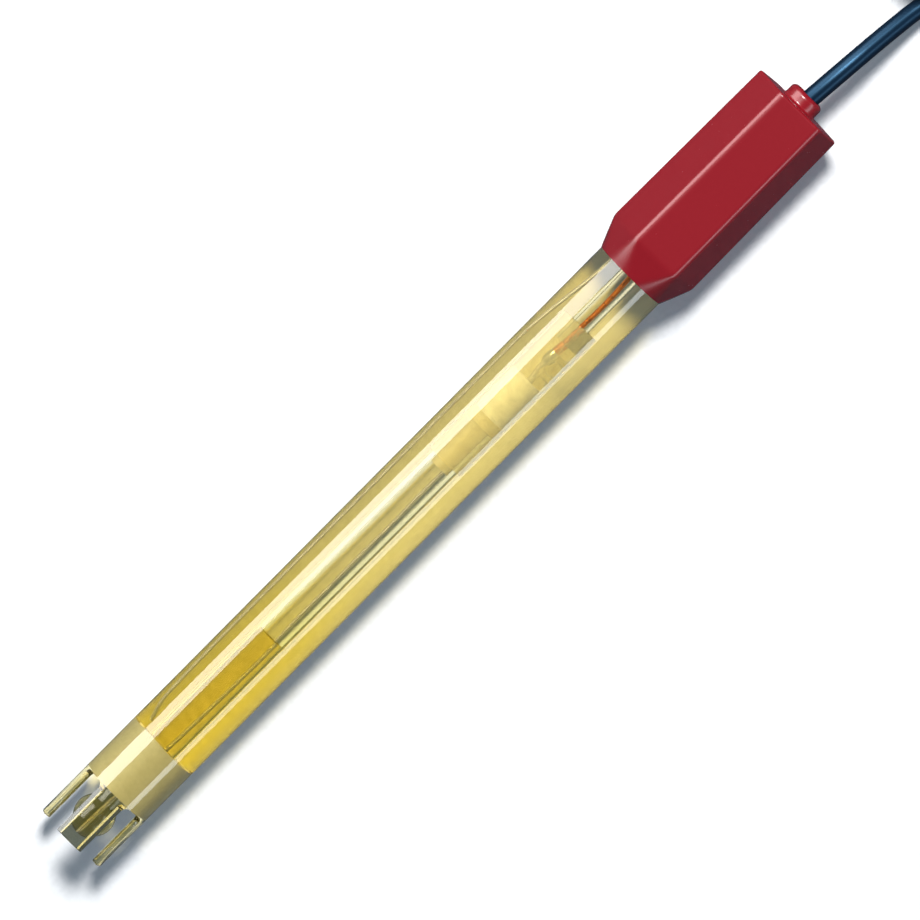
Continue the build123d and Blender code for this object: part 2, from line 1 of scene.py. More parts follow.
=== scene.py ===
# %% [markdown]
# A laboratory pH electrode in Blender. The real object is a glass half cell in a clear amber tube, with
# a red cap and a thin lead that ends in a plug. It could be modelled from nothing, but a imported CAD
# model with bodies and joints exists. This lesson loads it as a frame and lays a finer piece over each
# solid that needs one, so that the dressed model still moves as the solids do.

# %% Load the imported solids
import json
from math import atan, cos, degrees, pi, radians, sin, sqrt, tan

import bmesh
import bpy
from mathutils import Matrix, Vector, noise


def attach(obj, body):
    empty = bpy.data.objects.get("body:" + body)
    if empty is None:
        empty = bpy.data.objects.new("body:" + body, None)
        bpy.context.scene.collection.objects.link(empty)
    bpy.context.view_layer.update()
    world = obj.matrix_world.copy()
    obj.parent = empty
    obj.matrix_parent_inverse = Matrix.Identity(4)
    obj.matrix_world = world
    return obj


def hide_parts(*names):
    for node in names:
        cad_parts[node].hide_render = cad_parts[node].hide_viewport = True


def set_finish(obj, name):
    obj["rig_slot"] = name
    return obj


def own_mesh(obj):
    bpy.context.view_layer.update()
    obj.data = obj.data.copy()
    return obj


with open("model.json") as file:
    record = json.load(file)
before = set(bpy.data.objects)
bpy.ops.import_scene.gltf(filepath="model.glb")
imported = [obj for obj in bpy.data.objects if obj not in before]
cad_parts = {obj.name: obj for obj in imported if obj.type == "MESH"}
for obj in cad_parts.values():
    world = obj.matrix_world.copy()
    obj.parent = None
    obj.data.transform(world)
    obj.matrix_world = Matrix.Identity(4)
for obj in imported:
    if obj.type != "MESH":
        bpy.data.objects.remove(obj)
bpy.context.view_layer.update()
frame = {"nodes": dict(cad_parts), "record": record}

nodes = frame["nodes"]

# %% [markdown]
# The electrode lies on its guard and on a flat of the cap, so its axis is tilted a little. Each piece
# could be modelled level and turned afterwards, but then every later piece has to be turned too. Here
# one function takes a place in millimetres, along the axis from the guard's tips and beside it, and
# gives the point of the scene. The sizes are those of the part's source.

# %% Sizes along the axis, and a place beside it
MM = 0.001
TUBE_RADIUS = 6.0
BORE_RADIUS = 4.7
TUBE_END = 118.0
NECK_END = 130.0
NECK_RADIUS = 5.4
SHOULDER = 123.0
CAP_END = 153.3
NUB_END = 155.5
HALF_FLATS = 7.12
TILT = atan((HALF_FLATS - TUBE_RADIUS) / SHOULDER)
MIDDLE = 77.716  # the place along the axis that lies over the scene's origin
LIFT = TUBE_RADIUS * cos(TILT)


def lay(s, y=0.0, z=0.0):
    """A place beside the electrode's axis, in millimetres, as a point of the scene in metres."""
    return Vector((s * cos(TILT) - z * sin(TILT) - MIDDLE, y, LIFT + s * sin(TILT) + z * cos(TILT))) * MM


print("tip", lay(0), "cap end", lay(CAP_END))

# %% [markdown]
# The photograph looks almost straight down from far away. An orthographic camera would show no
# perspective at all, so the camera has a very long lens. It leans a little towards the cap and towards
# +Y, and is rolled so that the electrode runs from the lower left to the upper right.

# %% Camera
VIEW_WIDTH = 0.1363
CAMERA_DISTANCE = 2.2
SENSOR = 36.0
NEAREST, FARTHEST = 0.1, 20
LEAN_TO_CAP, LEAN_ACROSS = radians(3.75), radians(7.0)
AXIS_ROLL = radians(45.197)
AIM_ALONG, AIM_ACROSS = 80.74, -1.378
away = Vector((sin(LEAN_TO_CAP), sin(LEAN_ACROSS), 1.0)).normalized()
along = (lay(1) - lay(0)).normalized()
along = (along - away * along.dot(away)).normalized()
across = away.cross(along)
target = lay(AIM_ALONG) + across * AIM_ACROSS * MM

camera_data = bpy.data.cameras.new("camera")
camera_data.sensor_width = SENSOR
camera_data.lens = SENSOR * CAMERA_DISTANCE / VIEW_WIDTH
camera_data.clip_start, camera_data.clip_end = NEAREST, FARTHEST
camera = bpy.data.objects.new("camera", camera_data)
bpy.context.scene.collection.objects.link(camera)
right = along * cos(AXIS_ROLL) - across * sin(AXIS_ROLL)
up = along * sin(AXIS_ROLL) + across * cos(AXIS_ROLL)
facing = Matrix((right, up, away)).transposed()
camera.matrix_world = Matrix.Translation(target + away * CAMERA_DISTANCE) @ facing.to_4x4()
bpy.context.scene.camera = camera
print("lens", round(camera_data.lens), "mm")

# %% [markdown]
# The lead is a round cable. It leaves the cap, runs to a tied hank and comes out on top of it to the
# plug. A hank could be simulated, but a hand lays it in an order that can be calculated: seven rounds
# and a last run fill two lanes and four layers. The first and last points are those of the source.

# %% The lead's route and the hank's sizes
CORD = 2.9
LEAD_ROUTE = [
    (60.3, 0.0, 7.26), (71.8, 0.0, 7.36), (84.2, -1.05, 7.15), (92.2, -2.05, 4.75),
    (99.6, -3.2, 2.4), (106.4, -5.3, 2.1), (112.8, -6.3, 2.1),
]
TAIL_ROUTE = [
    (141.0, -6.0, 10.6), (147.5, -6.3, 10.6), (154.0, -5.6, 10.2), (160.0, -3.5, 8.95),
    (165.4, -1.5, 7.7), (171.1, -0.8, 7.25), (176.3, -0.8, 7.25),
]
HANK_MIDDLE = Vector((129.8, 5.0, 2.0))
HANK_RUN = 32.4
INNER_LANE = 8.7
PINCH = 1.0  # how far the tie pulls each run in
FOLD_REACH = 1.01
RUN_PARTS, FOLD_PARTS = 4, 6  # control points in a run and in a fold
SLOTS = ((1, 0), (0, 0), (0, 1), (1, 1), (1, 2), (0, 2), (0, 3), (1, 3))  # lane and layer, in order
CHANGES_START, CHANGES_END = 1.2, 3.8
CHANGE_SPREAD = 1.5
print("hank", HANK_RUN + 2 * INNER_LANE, "mm long, slots", len(SLOTS))

# %% [markdown]
# A round goes through four stations: a run, a fold, a run and a fold. Where it changes to the next slot
# it would cut through its neighbour, so each round changes a little earlier than the one before it, and
# the change is eased in and out, because a cable doesn't bend at a corner.


# %% A place in the hank
def hank_slot(turn, station):
    """Lane and layer of a turn at a station of its round: 0 to 4, a run, a fold, a run and a fold."""
    width = (CHANGES_END - CHANGES_START) / (len(SLOTS) - 1)
    start = CHANGES_END - width * (turn + 1)
    share = min(max((station - start) / (width * CHANGE_SPREAD), 0.0), 1.0)
    share = share * share * (3 - 2 * share)
    here, there = SLOTS[turn], SLOTS[min(turn + 1, len(SLOTS) - 1)]
    return [a + (b - a) * share for a, b in zip(here, there)]


def hank_point(turn, station):
    """The place of a turn's station: on a pinched run, or on a round fold at the run's end."""
    lane, layer = hank_slot(turn, station)
    radius = INNER_LANE + lane * CORD
    part = int(station)
    share = station - part
    side = -1 if part < 2 else 1
    if part % 2 == 0:
        x = HANK_RUN * (share - 0.5)
        y = radius - PINCH * cos(pi * x / HANK_RUN) ** 2
        place = Vector((-side * x, side * y, 0))
    else:
        reach = radius if share == 0 else radius * FOLD_REACH
        turned = pi * share
        place = Vector((HANK_RUN / 2 + reach * sin(turned), -reach * cos(turned), 0)) * -side
    return HANK_MIDDLE + place + Vector((0, 0, layer * CORD))


def hank_points():
    """All points of the hank, from its second point to the last but one of its last run."""
    stations = []
    for turn in range(len(SLOTS)):
        for part in range(4):
            parts = RUN_PARTS if part % 2 == 0 else FOLD_PARTS
            stations += [(turn, part + step / parts) for step in range(parts)]
    last = (len(SLOTS) - 1) * 2 * (RUN_PARTS + FOLD_PARTS) + RUN_PARTS - 1
    return [tuple(hank_point(*at)) for at in stations[1:last + 1]]


print("hank points", len(hank_points()))

# %% [markdown]
# A cable could be a swept mesh. A curve with a round bevel says the same in a few lines, stays smooth at
# any length and keeps its control points. The bevel is one metre deep and each point's radius scales
# it, so that the thickness is read from the points.


# %% A curve for a round cord
def new_curve(name, points, diameter, sides=8):
    """A round cord along a smooth line that follows its control points, in millimetres."""
    data = bpy.data.curves.new(name, "CURVE")
    data.dimensions = "3D"
    data.bevel_depth = 1.0
    data.bevel_resolution = sides
    data.resolution_u = 8
    data.use_fill_caps = True
    spline = data.splines.new("NURBS")
    spline.points.add(len(points) - 1)
    for point, place in zip(spline.points, points):
        point.co = (place[0] * MM, place[1] * MM, place[2] * MM, 1.0)
        point.radius = diameter / 2 * MM
    spline.order_u = 3
    spline.use_endpoint_u = True
    piece = bpy.data.objects.new(name, data)
    bpy.context.scene.collection.objects.link(piece)
    return piece


# %% [markdown]
# The plug's wavy spring washer flattens as the collar is pushed along. A solid of the frame is rigid,
# so a copy of it takes its place, and a squash may move the copy's points. Its doubled points are
# merged first, because they would come apart where the squash moves them.

# %% The washer that flattens
SAME_PLACE = 1e-6


def flattening_washer():
    """A copy of the spring washer, with its doubled points merged, in place of the frame's washer."""
    data = nodes["spring_washer"].data.copy()
    mesh = bmesh.new()
    mesh.from_mesh(data)
    bmesh.ops.remove_doubles(mesh, verts=mesh.verts, dist=SAME_PLACE)
    mesh.to_mesh(data)
    mesh.free()
    piece = bpy.data.objects.new("wave_washer", data)
    bpy.context.scene.collection.objects.link(piece)
    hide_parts("spring_washer")
    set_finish(piece, "spring_steel")
    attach(piece, "washer")
    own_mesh(piece)
    return piece


washer = flattening_washer()

# %% [markdown]
# The lead, the hank and the tail are three solids in the frame, because a solid is easy to weigh and to
# test. On the real object they are one cable, so one curve replaces all three and goes with the
# electrode's body.

# %% The lead
lead = new_curve("lead", LEAD_ROUTE + hank_points() + TAIL_ROUTE, CORD)
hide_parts("cable_lead", "cable_hank", "cable_tail")
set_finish(lead, "cable_jacket")
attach(lead, "electrode")
print("lead points", len(lead.data.splines[0].points))

# %% [markdown]
# Tube, glass, gel and cap are shells about the electrode's axis. A Screw modifier turns a profile into
# such a shell, but the cap changes from a circle to a hexagon on its way. So the pieces are drawn as a
# closed run of rings, and each ring is a circle or a hexagon with rounded corners.

# %% A ring's outline, an arc of rings and a smooth object
SHARP = radians(32)


def ring_radius(angle, half_flats, corner):
    """Distance from the axis to a rounded hexagon's outline, or to a circle where corner is its radius."""
    off = abs((angle + pi / 6) % (pi / 3) - pi / 6)
    reach = (half_flats - corner) / cos(pi / 6)
    if half_flats * tan(off) <= (half_flats - corner) * tan(pi / 6):
        return half_flats / cos(off)
    lean = pi / 6 - off
    return reach * cos(lean) + sqrt(corner ** 2 - (reach * sin(lean)) ** 2)


def arc(s, r, radius, start, end, steps):
    """Places and radii along an arc, in degrees from the direction of the cap towards outwards."""
    angles = [radians(start + (end - start) * step / steps) for step in range(steps + 1)]
    return [(s + radius * cos(a), r + radius * sin(a)) for a in angles]


def new_object(name, bm):
    """A smooth piece from a finished mesh, with its sharp edges marked."""
    mesh = bpy.data.meshes.new(name)
    bm.to_mesh(mesh)
    bm.free()
    mesh.shade_smooth()
    mesh.set_sharp_from_angle(angle=SHARP)
    piece = bpy.data.objects.new(name, mesh)
    bpy.context.scene.collection.objects.link(piece)
    return piece


print("a hexagon's corner lies at", round(ring_radius(pi / 6, HALF_FLATS, 1.2), 2), "mm")

# %% [markdown]
# Gel, glass and liquid touch with no air between them, so light bends less where they meet than in air.
# A material has one index for a whole piece, which would make the inside look like a thick bottle. So
# each face keeps the refraction between the two stuffs that meet there, and the material reads it.

# %% A closed shell from rings
AIR, GEL, LIQUID, GLASS, AMBER, RESIN = 1.0, 1.37, 1.34, 1.5, 1.6, 1.5


def meeting(line, refraction):
    """Rings, circles all, whose faces have the given refraction."""
    return [(s, r, None, refraction) for s, r in line]


def shell(name, rings, sides=128, wave=None):
    """A closed shell from rings (place, radius, corner, refraction); a short ring is a circle in air."""
    bm = bmesh.new()
    refraction = bm.faces.layers.float.new("refraction")
    rings = [(*ring, *(None, AIR)[len(ring) - 2:]) for ring in rings]
    rows = []
    for s, radius, corner, _ in rings:
        if radius == 0:
            rows.append([bm.verts.new(lay(s))])
            continue
        row = []
        for side in range(sides):
            angle = 2 * pi * side / sides
            r = ring_radius(angle, radius, radius if corner is None else corner)
            ds, dr = wave(s, r, angle) if wave else (0.0, 0.0)
            row.append(bm.verts.new(lay(s + ds, (r + dr) * sin(angle), (r + dr) * cos(angle))))
        rows.append(row)
    for here, row in enumerate(rows):
        after = rows[(here + 1) % len(rows)]
        if len(row) == 1 and len(after) == 1:
            continue
        for side in range(sides):
            corners = [row[side % len(row)], row[(side + 1) % len(row)],
                       after[(side + 1) % len(after)], after[side % len(after)]]
            face = bm.faces.new(list(dict.fromkeys(corners)))
            face[refraction] = rings[here][3]
    bmesh.ops.recalc_face_normals(bm, faces=bm.faces)
    return new_object(name, bm)


def place_piece(piece, slot, *stands_for):
    """The piece takes the place of its solids on the electrode."""
    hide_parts(*stands_for)
    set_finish(piece, slot)
    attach(piece, "electrode")
    print(piece.name, len(piece.data.polygons), "faces, stands for", *stands_for)
    return piece


# %% [markdown]
# The body is a clear amber tube. Two slots across its end leave four prongs, which guard the bulb. The
# prongs could be drawn one by one, but on the real object they are what the slots leave. So a rod with
# the slot's rounded outline is made for each slot, and a Boolean takes both away from the tube.

# %% A rod that cuts a slot
GUARD = 9.6
SLOT_HALF = 2.18
SLOT_CORNER = 0.9
CORNER_STEPS = 8
CUTTER_START = -3.0
CUTTER_REACH = 9.0


def slot_cutter(turn_degrees):
    """A rod with the slot's rounded outline, through the whole guard, turned from the top towards +Y."""
    outline = [(CUTTER_START, -SLOT_HALF), (CUTTER_START, SLOT_HALF)]
    for side, start in ((1, 90), (-1, 0)):
        for step in range(CORNER_STEPS + 1):
            a = radians(start - 90 * step / CORNER_STEPS)
            outline.append((GUARD - SLOT_CORNER + SLOT_CORNER * cos(a),
                            side * (SLOT_HALF - SLOT_CORNER) + SLOT_CORNER * sin(a)))
    bm = bmesh.new()
    roll = radians(turn_degrees)
    low, high = [[bm.verts.new(lay(s, y * cos(roll) + z * sin(roll), z * cos(roll) - y * sin(roll)))
                  for s, y in outline] for z in (-CUTTER_REACH, CUTTER_REACH)]
    bm.faces.new(low)
    bm.faces.new(reversed(high))
    for at in range(len(outline)):
        after = (at + 1) % len(outline)
        bm.faces.new([low[at], high[at], high[after], low[after]])
    bmesh.ops.recalc_face_normals(bm, faces=bm.faces)
    return new_object("slot_cutter", bm)


print("slots", 2 * SLOT_HALF, "mm wide and", GUARD, "mm deep")


# %% Cutting with a Boolean
def carved(piece, cutters):
    """The piece with the cutters taken away, as a plain mesh."""
    for cutter in cutters:
        cut = piece.modifiers.new("cut", "BOOLEAN")
        cut.operation = "DIFFERENCE"
        cut.solver = "EXACT"
        cut.object = cutter
    bpy.context.view_layer.update()
    made = bpy.data.meshes.new_from_object(piece.evaluated_get(bpy.context.evaluated_depsgraph_get()))
    piece.modifiers.clear()
    old = piece.data
    piece.data = made
    bpy.data.meshes.remove(old)
    for cutter in cutters:
        bpy.data.objects.remove(cutter)
    return piece


# %% [markdown]
# The tube's wall meets air outside, the seal and the gel inside and the bung in its neck, so its rings
# say where each of them begins. The Boolean gives its new faces no refraction, and they all lie in air,
# so they get the value of the outside afterwards.

# %% Body tube
GUARD_ROLL = 7.0
SLOT_TURNS = (45, 135)
TIP_ROUND = 0.2
SEAL_END = 19.4
BUNG_START = 118.6
TUBE_SIDES = 192


def body_tube():
    """The bored tube with rounded tips, its neck and its two slots."""
    outside = AMBER / AIR
    tips = arc(TIP_ROUND, BORE_RADIUS + TIP_ROUND, TIP_ROUND, 270, 180, 4)
    tips += arc(TIP_ROUND, TUBE_RADIUS - TIP_ROUND, TIP_ROUND, 180, 90, 4)
    rings = meeting(tips, outside)
    rings += meeting([(GUARD, TUBE_RADIUS), (TUBE_END, TUBE_RADIUS), (TUBE_END, NECK_RADIUS),
                      (NECK_END, NECK_RADIUS)], outside)
    rings += meeting([(NECK_END, BORE_RADIUS), (BUNG_START, BORE_RADIUS)], AMBER / GEL)
    rings += meeting([(SEAL_END, BORE_RADIUS)], AMBER / RESIN)
    rings += meeting([(GUARD, BORE_RADIUS)], outside)
    piece = shell("clear_tube", rings, TUBE_SIDES)
    carved(piece, [slot_cutter(GUARD_ROLL + turn) for turn in SLOT_TURNS])
    mesh = piece.data
    for item in mesh.attributes["refraction"].data:
        if item.value < AIR:
            item.value = outside
    mesh.shade_smooth()
    mesh.set_sharp_from_angle(angle=SHARP)
    return place_piece(piece, "clear_amber_plastic", "body_tube")


tube = body_tube()

# %% [markdown]
# The half cell is blown from one piece of glass: a thin bulb that feels the acid, a neck and a long
# stem. A sphere joined to a cylinder would show a crease. Here one line runs round the bulb, through a
# neck that touches both, and along the stem, and the wall inside follows the same line.

# %% Glass half cell
BULB_RADIUS = 3.2
BULB_CENTRE = 4.9
BULB_NECK = 1.6
BULB_WALL = 0.35
STEM_RADIUS = 2.15
STEM_BORE = 1.7
STEM_END = 86.5
LIQUID_END = 42.5
INNER_NECK = BULB_NECK + STEM_RADIUS - STEM_BORE
BULB_STEPS, NECK_STEPS, RIM_STEPS = 40, 10, 8
GLASS_SIDES = 128


def bulb_line(radius, stem, neck):
    """Places and radii of a bulb from its tip, round its crown and through its neck to the stem."""
    reach = sqrt((radius + neck) ** 2 - (stem + neck) ** 2)
    lean = degrees(atan((stem + neck) / reach))
    line = arc(BULB_CENTRE, 0, radius, 180, lean, BULB_STEPS)
    line[0] = (BULB_CENTRE - radius, 0)
    return line + arc(BULB_CENTRE + reach, stem + neck, neck, 180 + lean, 270, NECK_STEPS)[1:]


def glass_half_cell():
    """The bulb and the stem with their wall: outside to the rim, and back down the bore."""
    rim = (STEM_RADIUS - STEM_BORE) / 2
    outer = meeting(bulb_line(BULB_RADIUS, STEM_RADIUS, BULB_NECK), GLASS / AIR)
    outer += meeting([(GUARD, STEM_RADIUS), (STEM_END - 1, STEM_RADIUS)], GLASS / GEL)
    outer += meeting(arc(STEM_END - rim, STEM_BORE + rim, rim, 90, -90, RIM_STEPS), GLASS / AIR)
    inner = [(LIQUID_END, STEM_BORE)] + bulb_line(BULB_RADIUS - BULB_WALL, STEM_BORE, INNER_NECK)[::-1]
    return place_piece(shell("glass_cell", outer + meeting(inner, GLASS / LIQUID), GLASS_SIDES),
                       "clear_glass", "glass_half_cell")


glass = glass_half_cell()

# %% [markdown]
# A yellow buffer fills the bulb and the lower stem, up to a dished surface, the meniscus. A liquid that
# shares its faces with the glass would flicker, and a wide gap would show as a film of air. So it lies
# 0.01 mm inside the wall, and its sides bend light hardly at all, since the glass has done so already.

# %% The liquid in the bulb
LIQUID_GAP = 0.01
LIQUID_EDGE = 0.2
MENISCUS_DEPTH, MENISCUS_POWER, MENISCUS_STEPS = 0.4, 2.4, 12
HARDLY = 1.001
FILLING_SIDES = 96


def liquid():
    """The buffer in the bulb and the stem, with its dished surface."""
    radius = STEM_BORE - LIQUID_GAP
    line = bulb_line(BULB_RADIUS - BULB_WALL - LIQUID_GAP, radius, INNER_NECK)
    rings = meeting(line + [(LIQUID_END - LIQUID_EDGE, radius)], HARDLY)
    shares = [1 - step / MENISCUS_STEPS for step in range(MENISCUS_STEPS + 1)]
    rings += meeting([(LIQUID_END - MENISCUS_DEPTH * (1 - share ** MENISCUS_POWER), radius * share)
                      for share in shares], LIQUID)
    return place_piece(shell("buffer", rings, FILLING_SIDES), "buffer_solution", "buffer_fill")


buffer = liquid()

# %% [markdown]
# Electrolyte gel fills the tube round the stem, the sleeve and the core tube. It could be left out,
# since it is clear, but its yellow fades from the bulb to the cap, and that gives the tube its depth.
# It is one closed shell with steps in its bore, so that a volume can fill it.

# %% Gel
SLEEVE_START, SLEEVE_END = 79.1, 107.6
SLEEVE_RADIUS, SLEEVE_BORE = 2.45, 2.2
CORE_TUBE_RADIUS = 1.4
GEL_GAP = 0.02


def gel():
    """Gel in the tube, round the stem, the sleeve and the core tube."""
    outside, top = BORE_RADIUS - GEL_GAP, BUNG_START - GEL_GAP
    core, round_sleeve, stem = (r + GEL_GAP for r in (CORE_TUBE_RADIUS, SLEEVE_RADIUS, STEM_RADIUS))
    over, under = SLEEVE_END + GEL_GAP, SLEEVE_START - GEL_GAP
    rings = [(SEAL_END, stem), (SEAL_END, outside), (top, outside), (top, core), (over, core),
             (over, round_sleeve), (under, round_sleeve), (under, stem)]
    return place_piece(shell("gel", rings, FILLING_SIDES), "electrolyte_gel", "reference_gel")


gel_piece = gel()

# %% [markdown]
# Cream potting is cast between the glass and the tube behind the guard. A plain plug would look turned.
# Cast stuff creeps up the walls before it sets, so its upper face is dished between them, and a slow
# wave round the axis makes its edge a little uneven. Both are short sums of sines.

# %% Seal behind the guard
SEAL_SHOULDER = GUARD + 9.0
SEAL_DISH, SEAL_STEPS = 0.5, 10
SEAL_INNER_GAP, SEAL_OUTER_GAP = 0.02, 0.01
SWAY, SWAY_TURN, RIPPLE = 0.22, 0.9, 0.09


def seal():
    """Cast potting behind the guard; its upper face creeps up the walls and is a little uneven."""
    inner, outer = STEM_RADIUS + SEAL_INNER_GAP, BORE_RADIUS - SEAL_OUTER_GAP

    def uneven(s, r, angle):
        if s <= GUARD:
            return 0.0, 0.0
        return SWAY * sin(angle + SWAY_TURN) + RIPPLE * sin(3 * angle), 0.0

    rings = [(GUARD, inner), (GUARD, outer), (SEAL_SHOULDER, outer), (SEAL_END, outer)]
    for step in range(1, SEAL_STEPS):
        share = step / SEAL_STEPS
        rings.append((SEAL_END - SEAL_DISH * sin(pi * share), outer + (inner - outer) * share))
    rings += [(SEAL_END, inner), (SEAL_SHOULDER, inner)]
    return place_piece(shell("seal", rings, wave=uneven), "cream_potting", "lower_seal")


seal_piece = seal()

# %% [markdown]
# A milky sleeve is shrunk over the stem's end and the soldered joint. It could be drawn as a surface
# without thickness, but light that passes through a wall needs both of its faces. So it is a thin tube
# with a small bevel at each end, which catches a line of light.

# %% Sleeve
SLEEVE_EDGE = 0.05
SLEEVE_REFRACTION = 1.46


def sleeve():
    """The shrunk translucent sleeve over the stem's end and the joint."""
    chamfer = SLEEVE_RADIUS - SLEEVE_EDGE
    line = [(SLEEVE_START, SLEEVE_BORE), (SLEEVE_START, chamfer), (SLEEVE_START + SLEEVE_EDGE, SLEEVE_RADIUS),
            (SLEEVE_END - SLEEVE_EDGE, SLEEVE_RADIUS), (SLEEVE_END, chamfer), (SLEEVE_END, SLEEVE_BORE)]
    rings = meeting(line, SLEEVE_REFRACTION / GEL)
    return place_piece(shell("sleeve", rings, FILLING_SIDES), "translucent_sleeve", "top_sleeve")


sleeve_piece = sleeve()

# %% [markdown]
# Clear resin lies along one side of the sleeve, where it ran and set. It could be sculpted. Here it
# starts as a full rod, and each point beyond a wavy surface is pushed back onto it. That keeps the
# other side round, where the resin touches the sleeve.

# %% Resin in the sleeve
WAD_START, WAD_LENGTH = 88.4, 8.0
WAD_END = WAD_START + WAD_LENGTH
FILLING_RADIUS = 2.15
RESIN_STEPS, SMALL_SIDES = 60, 64
RESIN_GAP, RESIN_LEVEL = 0.05, -0.35
RESIN_WAVES = ((0.16, 1.9, 0.0), (0.07, 4.3, 1.0))  # height, waves in a millimetre as an angle, start


def potting():
    """Cast resin that lies along one side of the sleeve, with a wavy surface."""
    first, last = WAD_END + RESIN_GAP, SLEEVE_END - RESIN_GAP
    line = [(first, 0.0)]
    line += [(first + (last - first) * step / RESIN_STEPS, FILLING_RADIUS)
             for step in range(RESIN_STEPS + 1)]
    line.append((last, 0.0))
    piece = shell("resin", meeting(line, RESIN), SMALL_SIDES)
    for corner in piece.data.vertices:
        s = (corner.co.x / MM + MIDDLE) / cos(TILT)
        surface = RESIN_LEVEL + sum(height * sin(s * pace + start) for height, pace, start in RESIN_WAVES)
        corner.co.y = min(corner.co.y, surface * MM)
    return place_piece(piece, "clear_potting", "joint_potting")


resin_piece = potting()

# %% [markdown]
# A rubber stopper closes the stem: a shank in the bore, a head on the rim and a dished foot. A turned
# profile is enough, because rubber has no detail that could be seen through glass and gel. Its edges
# are bevelled a little, since a moulded edge is never sharp.

# %% Stopper
STOPPER_START, STOPPER_END = 77.9, 88.35
STOPPER_DISH, DISH_STEPS, FOOT_EDGE = 0.7, 8, 0.6
STOPPER_GAP, HEAD_EDGE = 0.03, 0.08


def stopper():
    """The stem's rubber stopper, dished at its foot."""
    shank, seat, head = STEM_BORE - STOPPER_GAP, STEM_END + STOPPER_GAP, FILLING_RADIUS - HEAD_EDGE
    rings = [(STOPPER_START + STOPPER_DISH, 0.0)]
    rings += [(STOPPER_START + STOPPER_DISH * (1 - (step / DISH_STEPS) ** 2), shank * step / DISH_STEPS)
              for step in range(1, DISH_STEPS + 1)]
    rings += [(STOPPER_START + FOOT_EDGE, shank), (seat, shank), (seat, head),
              (seat + HEAD_EDGE, FILLING_RADIUS), (STOPPER_END - HEAD_EDGE, FILLING_RADIUS),
              (STOPPER_END, head), (STOPPER_END, 0.0)]
    return place_piece(shell("stem_plug", rings, SMALL_SIDES), "pale_rubber", "stem_stopper")


stopper_piece = stopper()

# %% [markdown]
# A clear tube keeps the lead's core apart from the gel. A solid rod would act as a lens and swell the
# core to its own width, so the tube is hollow, with air in its bore.

# %% Tube round the lead's core
CORE_TUBE_START, CORE_TUBE_END = 104.0, 137.95
CORE_TUBE_WALL = 0.3


def core_tube():
    """The clear tube round the lead's core, with air inside it."""
    outer, bore = CORE_TUBE_RADIUS, CORE_TUBE_RADIUS - CORE_TUBE_WALL
    rings = meeting([(CORE_TUBE_START, outer)], RESIN / GEL)
    rings += meeting([(CORE_TUBE_END, outer), (CORE_TUBE_END, bore), (CORE_TUBE_START, bore)], RESIN / AIR)
    return place_piece(shell("core_sleeve", rings, SMALL_SIDES), "clear_insulation", "core_tube")


core_piece = core_tube()

# %% [markdown]
# White thread tape is packed into the sleeve as a crumpled wad. Cloth could crumple it, but the wad is a
# few millimetres long and lies behind a milky wall. Noise that moves each point in or out gives soft
# folds, and the dips where another noise crosses zero give creases, and both are the same in each run.

# %% Wad of tape
WAD_STEPS = 72
WAD_GAP = 0.12
FOLD_PACE, FINE_FOLD, FINE_SHARE, FOLD_HEIGHT = 1.6, 2.3, 0.5, 0.10
CREASE_PACE, CREASE_SHIFT = 1.3, Vector((9, 4, 2))
CREASE_WIDTH, CREASE_DEPTH = 0.35, 0.35


def wad():
    """A crumpled wad of thread tape: a rod whose points noise moves in and out."""
    line = [(WAD_START, 0.0)]
    line += [(WAD_START + WAD_LENGTH * step / WAD_STEPS, FILLING_RADIUS - WAD_GAP)
             for step in range(WAD_STEPS + 1)]
    line.append((WAD_END, 0.0))

    def crumpled(s, r, angle):
        place = Vector((s * FOLD_PACE, r * sin(angle) * FOLD_PACE, r * cos(angle) * FOLD_PACE))
        fold = noise.noise(place) + FINE_SHARE * noise.noise(place * FINE_FOLD)
        crease = abs(noise.noise(place * CREASE_PACE + CREASE_SHIFT))
        return 0.0, FOLD_HEIGHT * fold - CREASE_DEPTH * (CREASE_WIDTH - min(crease, CREASE_WIDTH))

    return place_piece(shell("tape_wad", line, FILLING_SIDES, crumpled), "white_tape", "packing_wad")


wad_piece = wad()

# %% [markdown]
# More of the tape is wound round the wad. A strip could be bent by hand, but turns at an even pitch are
# a rule, so Geometry Nodes make it: a thin rectangle is swept along a helix, kept upright so that it
# doesn't twist, and creased by noise. Turns, sizes and creases are the inputs of the node group.

# %% Inputs, nodes and links of the wound tape
TAPE_INSET = 0.75
TAPE_INPUTS = {
    "Turns": 7.0, "Radius": (FILLING_RADIUS - WAD_GAP) * MM, "Length": (WAD_LENGTH - 2 * TAPE_INSET) * MM,
    "Tape Width": 0.0012, "Tape Thickness": 0.00008, "Crease": 0.00016, "Seed": 4.0,  # metres, but the seed
}
TAPE_NODES = {
    "given": ("NodeGroupInput", {}), "out": ("NodeGroupOutput", {}),
    "helix": ("GeometryNodeCurveSpiral", {}),
    "strip": ("GeometryNodeCurvePrimitiveQuadrilateral", {"mode": "RECTANGLE"}),
    "level": ("GeometryNodeSetCurveNormal", {"mode": "Z_UP"}),
    "sweep": ("GeometryNodeCurveToMesh", {}),
    "place": ("GeometryNodeInputPosition", {}),
    "crease": ("ShaderNodeTexNoise", {"noise_dimensions": "4D"}),
    "centred": ("ShaderNodeVectorMath", {"operation": "SUBTRACT"}),
    "amount": ("ShaderNodeVectorMath", {"operation": "SCALE"}),
    "moved": ("GeometryNodeSetPosition", {}),
    "real": ("GeometryNodeRealizeInstances", {}),
    "stuff": ("GeometryNodeSetMaterial", {}),
}
TAPE_VALUES = (("helix", "Resolution", 40), ("sweep", "Fill Caps", True), ("crease", "Scale", 1500.0),
               ("centred", 1, (0.5, 0.5, 0.5)))
